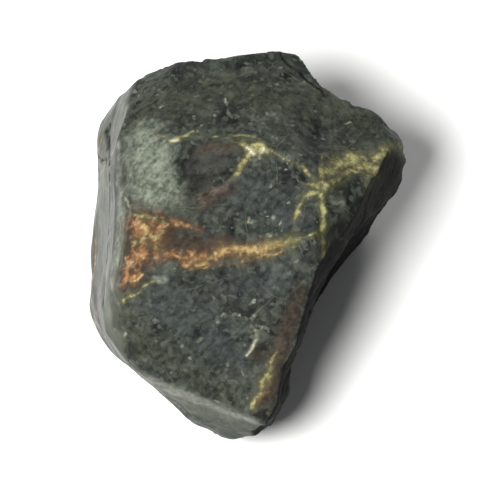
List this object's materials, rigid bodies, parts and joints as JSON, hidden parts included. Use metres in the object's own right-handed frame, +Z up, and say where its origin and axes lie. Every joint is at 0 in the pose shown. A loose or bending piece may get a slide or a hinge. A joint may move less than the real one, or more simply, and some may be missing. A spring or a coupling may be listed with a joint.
{
  "type": "rough black onyx stone",
  "caption": "Rough chunk of near-black chalcedony with broken, shallowly hollowed faces, sharp edges and a flat face to rest on.",
  "frame": {"origin": "a point on the flat resting face, near the middle of the stone", "axes": "+Z up, away from the resting face; +X right and +Y away from the front, along the stone's longest extent"},
  "size_m": [0.0382, 0.0464, 0.0264],
  "materials": {
    "onyx": "fresh fracture, waxy to dull, with rust-brown and dull gold veins"
  },
  "bodies": {
    "root": {"onyx_chunk": "onyx"}
  },
  "joints": []
}
